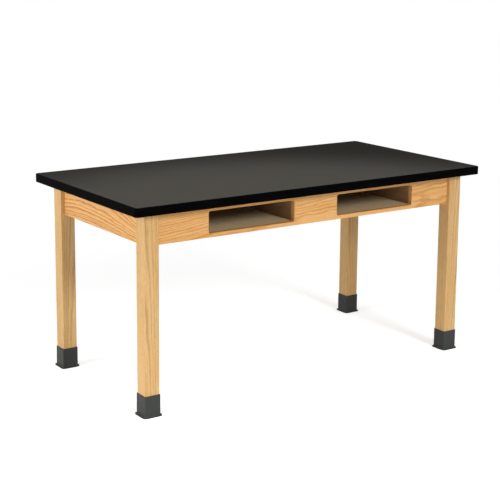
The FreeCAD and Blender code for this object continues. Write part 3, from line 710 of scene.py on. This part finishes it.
class LABTABLE_OT_legs(bpy.types.Operator):
    """Finish the four oak legs, each cut from its own part of the log"""
    bl_idname = "lab_table.legs"
    bl_label = "Legs"

    # The look of the legs' rings, and where each leg's pith lay, in millimetres from the leg's middle
    LOOK = {"spacing": 3.4 * MM, "wander": 4 * MM, "figure": 0.45, "lean": (0.004, 0.01)}
    PITHS = {
        "front_left": (-30, 70, 100),
        "front_right": (34, 66, -250),
        "rear_right": (-36, 74, 300),
        "rear_left": (28, 70, -500),
    }

    def execute(self, context):
        colours = context.scene.lab_table_colours
        stock = (colours.leg_late, colours.leg_rose, colours.leg_early)
        for corner, pith in self.PITHS.items():
            node = f"leg_{corner}"
            dress(node, make_oak(f"oak_{node}", node, stock, "Z", pith, **self.LOOK))
        return {"FINISHED"}


class LABTABLE_OT_aprons(bpy.types.Operator):
    """Finish the four oak aprons, each a board with its own run of the rings"""
    bl_idname = "lab_table.aprons"
    bl_label = "Aprons"

    # Grain direction, where the pith lay in millimetres from the apron's middle, and the look of its rings
    BOARDS = {
        "front_apron": ("X", (0, 112, -56),
                        {"spacing": 4.4 * MM, "wander": 15 * MM, "figure": 0.5, "lean": (-0.07, 0.0)}),
        "rear_apron": ("X", (90, -120, 25),
                       {"spacing": 5.0 * MM, "wander": 10 * MM, "figure": 0.6, "lean": (0.0, -0.04)}),
        "left_end_apron": ("Y", (109, 100, 60),
                           {"spacing": 6.5 * MM, "wander": 13 * MM, "figure": 0.95, "bow": (-0.2, 0.0)}),
        "right_end_apron": ("Y", (-100, -80, -40),
                            {"spacing": 6.0 * MM, "wander": 12 * MM, "figure": 0.8, "bow": (0.25, 0.0)}),
    }

    def execute(self, context):
        colours = context.scene.lab_table_colours
        stock = (colours.oak_late, colours.oak_rose, colours.oak_early)
        for node, (along, pith, look) in self.BOARDS.items():
            dress(node, make_oak(f"oak_{node}", node, stock, along, pith, **look))
        return {"FINISHED"}


class LABTABLE_OT_compartments(bpy.types.Operator):
    """Finish the two book compartments and the cleats that they hang on"""
    bl_idname = "lab_table.compartments"
    bl_label = "Book compartments"

    # The axis across each panel's thickness, and the axis of its face grain
    PANELS = {
        "floor": ("Z", "Y"),
        "back": ("Y", "X"),
        "inner_side": ("X", "Y"),
        "outer_side": ("X", "Y"),
    }

    def execute(self, context):
        colours = context.scene.lab_table_colours
        for side in ("left", "right"):
            for panel, (across, along) in self.PANELS.items():
                node = f"{side}_compartment_{panel}"
                # The floors take the paler veneer, which has painted light in it for the light that falls on
                # them through the openings
                veneer = colours.painted_lit_floor_veneer if panel == "floor" else colours.veneer
                dress(node, make_plywood(f"plywood_{side}_{panel}", node, veneer, across, along))
            for which in ("inner", "outer"):
                node = f"{side}_{which}_cleat"
                dress(node, make_plywood(f"plywood_{node}", node, colours.veneer, "X", "Y"))
        return {"FINISHED"}


class LABTABLE_OT_corner_brackets(bpy.types.Operator):
    """Finish the corner brackets, the clips under the top, the washers and the leveller inserts"""
    bl_idname = "lab_table.corner_brackets"
    bl_label = "Brackets and clips"

    def execute(self, context):
        brackets = [f"corner_bracket_{corner}" for corner in CORNERS]
        for node in (*brackets, "top_clips", "hanger_washers", "leveller_inserts"):
            dress(node, zinc_plate())
        return {"FINISHED"}


class LABTABLE_OT_screws(bpy.types.Operator):
    """Cut a cross recess in the head of every wood screw"""
    bl_idname = "lab_table.screws"
    bl_label = "Wood screws"

    SIDES = 48
    HEAD_HEIGHT = 2.4 * MM
    HEAD_RADIUS = 4.0 * MM
    HEAD_RIM = 0.9 * MM
    SHANK_RADIUS = 2.0 * MM
    POINT_LENGTH = 4.0 * MM
    TIP_RADIUS = 0.2 * MM

    # The pan head's outline, as shares of its height and radius, and how far its crown drops to its edge
    CROWN_SHARE = 0.7
    CROWN_DROP = 0.1 * MM
    SHOULDER_HEIGHT_SHARE = 0.25
    SHOULDER_SHARE = 0.88
    RIM_SHARE = 0.985

    # The floor of the recess as shares of its reach and width, and the eased edge round its mouth
    FLOOR_REACH_SHARE = 0.72
    FLOOR_WIDTH_SHARE = 0.7
    MOUTH_SHARE = 1.08
    MOUTH_DEPTH = 0.12 * MM

    def screw(self, length):
        """A screw along +Z from the top of its head: recess, pan head, shank and point."""
        sizes = bpy.context.scene.lab_table_fasteners
        reach, width = sizes.recess_reach, sizes.recess_width
        rim = circle(self.HEAD_RADIUS * self.RIM_SHARE)
        return stack_rings([
            (sizes.recess_depth, cross(reach * self.FLOOR_REACH_SHARE, width * self.FLOOR_WIDTH_SHARE)),
            (self.MOUTH_DEPTH, cross(reach, width)),
            (0.0, circle(reach * self.MOUTH_SHARE)),
            (self.CROWN_DROP, circle(self.HEAD_RADIUS * self.CROWN_SHARE)),
            (self.HEAD_HEIGHT * self.SHOULDER_HEIGHT_SHARE, circle(self.HEAD_RADIUS * self.SHOULDER_SHARE)),
            (self.HEAD_HEIGHT - self.HEAD_RIM, rim),
            (self.HEAD_HEIGHT - self.HEAD_RIM / 3, circle(self.HEAD_RADIUS)),
            (self.HEAD_HEIGHT, rim),
            (self.HEAD_HEIGHT, circle(self.SHANK_RADIUS)),
            (length - self.POINT_LENGTH, circle(self.SHANK_RADIUS)),
            (length, circle(self.TIP_RADIUS)),
        ], self.SIDES)

    def execute(self, context):
        for node in ("bracket_screws", "top_clip_screws", "cleat_screws"):
            rebuild(node, f"recessed_{node}", TABLE, way_of_screw, self.screw)
        return {"FINISHED"}


class LABTABLE_OT_hanger_bolts(bpy.types.Operator):
    """Cut the hanger bolts' machine thread, and chamfer their nuts"""
    bl_idname = "lab_table.hanger_bolts"
    bl_label = "Hanger bolts"

    SIDES = 24
    ROOT_RADIUS = 3.4 * MM
    RADIUS = 4.0 * MM
    TIP_RADIUS = ROOT_RADIUS / 6
    POINT_LENGTH = 5.0 * MM
    CHAMFER = 0.8 * MM
    THREADED_LENGTH = 26 * MM
    NUT_FLATS = 13.0 * MM
    NUT_CHAMFER = 0.9 * MM
    BORE_RADIUS = 4.05 * MM
    BORE_CHAMFER = 0.4 * MM

    def bolt(self, length):
        """A hanger bolt along +Z from its wood point: the point, the wood shank and the machine thread."""
        sizes = bpy.context.scene.lab_table_fasteners
        start = length - self.THREADED_LENGTH
        depth, pitch = sizes.bolt_thread_depth, sizes.bolt_pitch
        return stack_rings([
            (0.0, circle(self.TIP_RADIUS)),
            (self.POINT_LENGTH, circle(self.ROOT_RADIUS)),
            (start - pitch, circle(self.ROOT_RADIUS)),
            *threaded(self.RADIUS, depth, pitch, start, length - self.CHAMFER),
            (length, circle(self.RADIUS - self.CHAMFER)),
        ], self.SIDES)

    def nut(self, thickness):
        """A hexagon nut, its corners turned off at both faces and its bore eased at the one off the leg."""
        turned = circle(self.NUT_FLATS / 2 * TURNED_SHARE)
        corners = hexagon(self.NUT_FLATS)
        form = stack_rings([
            (0.0, circle(self.BORE_RADIUS)),
            (0.0, turned),
            (self.NUT_CHAMFER, corners),
            (thickness - self.NUT_CHAMFER, corners),
            (thickness, turned),
            (thickness, circle(self.BORE_RADIUS + self.BORE_CHAMFER)),
            (thickness - self.BORE_CHAMFER, circle(self.BORE_RADIUS)),
        ], self.SIDES)
        caps = [face for face in form.faces if len(face.verts) == self.SIDES]
        rims = [edge for face in caps for edge in face.edges]
        bmesh.ops.delete(form, geom=caps, context="FACES_ONLY")
        bmesh.ops.bridge_loops(form, edges=rims)
        bmesh.ops.recalc_face_normals(form, faces=form.faces[:])
        return form

    def execute(self, context):
        for node, maker in (("hanger_bolts", self.bolt), ("hanger_nuts", self.nut)):
            rebuild(node, f"threaded_{node}", TABLE, inward, maker)
        return {"FINISHED"}


class LABTABLE_OT_levellers(bpy.types.Operator):
    """Cut the leveller stems' threads, and finish the pads"""
    bl_idname = "lab_table.levellers"
    bl_label = "Levellers"

    SIDES = 36
    SPIGOT_RADIUS = 3.5 * MM
    SPIGOT_LENGTH = 4.0 * MM
    COLLAR_FLATS = 16.0 * MM
    COLLAR_THICKNESS = 6.0 * MM
    COLLAR_CHAMFER = 0.8 * MM
    RADIUS = 5.0 * MM
    CHAMFER = 1.0 * MM
    NECK = 1.2 * MM

    def stem(self, length):
        """Spigot, hexagon collar, neck and thread, as one closed form along +Z."""
        sizes = bpy.context.scene.lab_table_fasteners
        depth, pitch = sizes.leveller_thread_depth, sizes.leveller_pitch
        shoulder = self.SPIGOT_LENGTH
        top = shoulder + self.COLLAR_THICKNESS
        start = top + self.NECK
        corners = hexagon(self.COLLAR_FLATS)
        turned = circle(self.COLLAR_FLATS / 2 * TURNED_SHARE)
        return stack_rings([
            (0.0, circle(self.SPIGOT_RADIUS)),
            (shoulder, circle(self.SPIGOT_RADIUS)),
            (shoulder, turned),
            (shoulder + self.COLLAR_CHAMFER, corners),
            (top - self.COLLAR_CHAMFER, corners),
            (top, turned),
            (top, circle(self.RADIUS - depth)),
            (start - pitch / ROWS_PER_TURN, circle(self.RADIUS - depth)),
            *threaded(self.RADIUS, depth, pitch, start, length - self.CHAMFER),
            (length, circle(self.RADIUS - self.CHAMFER)),
        ], self.SIDES)

    def execute(self, context):
        nylon = make_nylon_finish()
        for corner in CORNERS:
            stem = f"leveller_stem_{corner}"
            rebuild(stem, f"threaded_stem_{corner}", stem, upward, self.stem)
            dress(f"leveller_pad_{corner}", nylon)
        return {"FINISHED"}


class LABTABLE_OT_boots(bpy.types.Operator):
    """Finish the moulded boots round the feet of the legs"""
    bl_idname = "lab_table.boots"
    bl_label = "Boots"

    def execute(self, context):
        vinyl = make_boot_finish()
        for corner in CORNERS:
            dress(f"boot_{corner}", vinyl)
        return {"FINISHED"}


class LABTABLE_OT_studio(bpy.types.Operator):
    """Set up the white floor, the lamps, the world and the camera"""
    bl_idname = "lab_table.studio"
    bl_label = "Studio"

    # The floor: its size, how far from its middle its fade to plain white starts and ends, colour and glow
    FLOOR_SIZE = 40.0
    FADE_START = 1.0
    FADE_END = 2.2
    FLOOR_COLOUR = (0.86, 0.86, 0.86)
    FLOOR_GLOW = 0.58

    # The camera's sensor in millimetres
    SENSOR_WIDTH = 36.0

    # Kind, place and target of each lamp, and the settings that shape its light
    LAMPS = {
        "key_lamp": ("AREA", (0.36, -8.2, 4.5), (0.0, 0.0, 0.6), {"size": 1.95}),
        "side_lamp": ("AREA", (-4.2, 0.3, 1.6), (0.0, 0.0, 0.5), {"size": 2.2}),
        "top_lamp": ("SPOT", (-0.32, -0.75, 7.0), (-0.32, -0.75, 0.0),
                     {"spot_size": math.radians(21.2), "spot_blend": 0.46, "shadow_soft_size": 0.22}),
    }

    def execute(self, context):
        scene = context.scene
        settings = scene.lab_table_studio
        scene.view_settings.view_transform = "Standard"
        self.make_world(scene, settings.ambient)
        self.make_floor(scene)
        powers = {
            "key_lamp": settings.key_power,
            "side_lamp": settings.side_power,
            "top_lamp": settings.top_power,
        }
        for name, lamp in self.LAMPS.items():
            self.make_lamp(scene, name, powers[name], *lamp)
        self.make_camera(scene, settings)
        return {"FINISHED"}

    @staticmethod
    def seen_directly(finish):
        """1 for rays from the camera, and in reflections and glass, and 0 for light on surfaces."""
        direct = finish.add("ShaderNodeLightPath", output="Is Camera Ray")
        glossy = finish.add("ShaderNodeLightPath", output="Is Glossy Ray")
        through = finish.add("ShaderNodeLightPath", output="Is Transmission Ray")
        return (direct + glossy + through).at_most(1.0)

    def make_world(self, scene, ambient):
        """A world that looks plain white and lights the table at the ambient level."""
        sky = Finish("studio_world", "worlds")
        strength = self.seen_directly(sky) * (1.0 - ambient) + ambient
        light = sky.add("ShaderNodeBackground", inputs={"Color": WHITE, "Strength": strength})
        sky.add("ShaderNodeOutputWorld", inputs={"Surface": light})
        scene.world = sky.owner

    def make_floor(self, scene):
        """A floor that keeps the table's shadow, fades to plain white round it, and is clear from below."""
        form = bmesh.new()
        bmesh.ops.create_grid(form, x_segments=1, y_segments=1, size=self.FLOOR_SIZE / 2)
        floor = join_copies("studio_floor", [(form, Matrix())])
        finish = Finish("studio_floor")
        matt = finish.add("ShaderNodeBsdfDiffuse", inputs={"Color": self.FLOOR_COLOUR})
        glow = finish.add("ShaderNodeEmission", inputs={"Strength": self.FLOOR_GLOW})
        near = finish.add("ShaderNodeAddShader", inputs={0: matt, 1: glow})
        far = finish.add("ShaderNodeEmission")
        away = finish.length(finish.mapped()) / self.FADE_END
        fade = finish.ramp(away, (self.FADE_START / self.FADE_END, 0.0), (1.0, 1.0))
        upper = finish.mix_shaders(self.seen_directly(finish), matt, finish.mix_shaders(fade, near, far))
        underside = finish.add("ShaderNodeNewGeometry", output="Backfacing")
        clear = finish.add("ShaderNodeBsdfTransparent")
        surface = finish.mix_shaders(underside, upper, clear)
        finish.add("ShaderNodeOutputMaterial", inputs={"Surface": surface})
        floor.data.materials.append(finish.owner)

    @staticmethod
    def make_lamp(scene, name, power, kind, place, target, shape):
        """A lamp at a place, turned to a target."""
        lamp = bpy.data.lights.new(name, kind)
        lamp.energy = power
        for setting, value in shape.items():
            setattr(lamp, setting, value)
        holder = bpy.data.objects.new(name, lamp)
        holder.location = place
        holder.rotation_euler = (Vector(place) - Vector(target)).to_track_quat("Z", "Y").to_euler()
        scene.collection.objects.link(holder)

    def make_camera(self, scene, settings):
        """The camera, turned by its yaw, then its pitch, then its roll."""
        yaw, pitch, roll = settings.yaw, settings.pitch, settings.roll
        straight = Vector((math.sin(yaw), math.cos(yaw), 0.0))
        ahead = straight * math.cos(pitch) - Vector((0.0, 0.0, math.sin(pitch)))
        level = Vector((math.cos(yaw), -math.sin(yaw), 0.0))
        down = ahead.cross(level)
        right = level * math.cos(roll) + down * math.sin(roll)
        up = level * math.sin(roll) - down * math.cos(roll)
        camera = bpy.data.cameras.new("camera")
        camera.sensor_width = self.SENSOR_WIDTH
        camera.lens = settings.lens
        camera.shift_y = settings.shift
        holder = bpy.data.objects.new("camera", camera)
        turn = Matrix((right, up, -ahead)).transposed()
        holder.matrix_world = Matrix.Translation(settings.camera_place) @ turn.to_4x4()
        scene.collection.objects.link(holder)
        scene.camera = holder


class LABTABLE_PT_panel(bpy.types.Panel):
    """Sizes, colours and steps of the laboratory table"""
    bl_idname = "LABTABLE_PT_panel"
    bl_label = "Lab table"
    bl_space_type = "VIEW_3D"
    bl_region_type = "UI"
    bl_category = "Lab table"

    def draw(self, context):
        layout = self.layout
        for operator in OPERATORS:
            layout.operator(operator.bl_idname)
        for group_name in GROUPS:
            group = getattr(context.scene, group_name)
            box = layout.box()
            for name in group.__annotations__:
                box.prop(group, name)


GROUPS = {
    "lab_table_fasteners": FastenerSizes,
    "lab_table_colours": FinishColours,
    "lab_table_studio": StudioSettings,
}
OPERATORS = (
    LABTABLE_OT_worktop,
    LABTABLE_OT_legs,
    LABTABLE_OT_aprons,
    LABTABLE_OT_compartments,
    LABTABLE_OT_corner_brackets,
    LABTABLE_OT_screws,
    LABTABLE_OT_hanger_bolts,
    LABTABLE_OT_levellers,
    LABTABLE_OT_boots,
    LABTABLE_OT_studio,
)


def register():
    for entry in (*GROUPS.values(), *OPERATORS, LABTABLE_PT_panel):
        bpy.utils.register_class(entry)
    for name, group in GROUPS.items():
        setattr(bpy.types.Scene, name, PointerProperty(type=group))


def unregister():
    for name in GROUPS:
        delattr(bpy.types.Scene, name)
    for entry in reversed((*GROUPS.values(), *OPERATORS, LABTABLE_PT_panel)):
        bpy.utils.unregister_class(entry)


def main():
    register()
    bpy.ops.lab_table.worktop()
    bpy.ops.lab_table.legs()
    bpy.ops.lab_table.aprons()
    bpy.ops.lab_table.compartments()
    bpy.ops.lab_table.corner_brackets()
    bpy.ops.lab_table.screws()
    bpy.ops.lab_table.hanger_bolts()
    bpy.ops.lab_table.levellers()
    bpy.ops.lab_table.boots()
    bpy.ops.lab_table.studio()


if __name__ == "__main__":
    main()
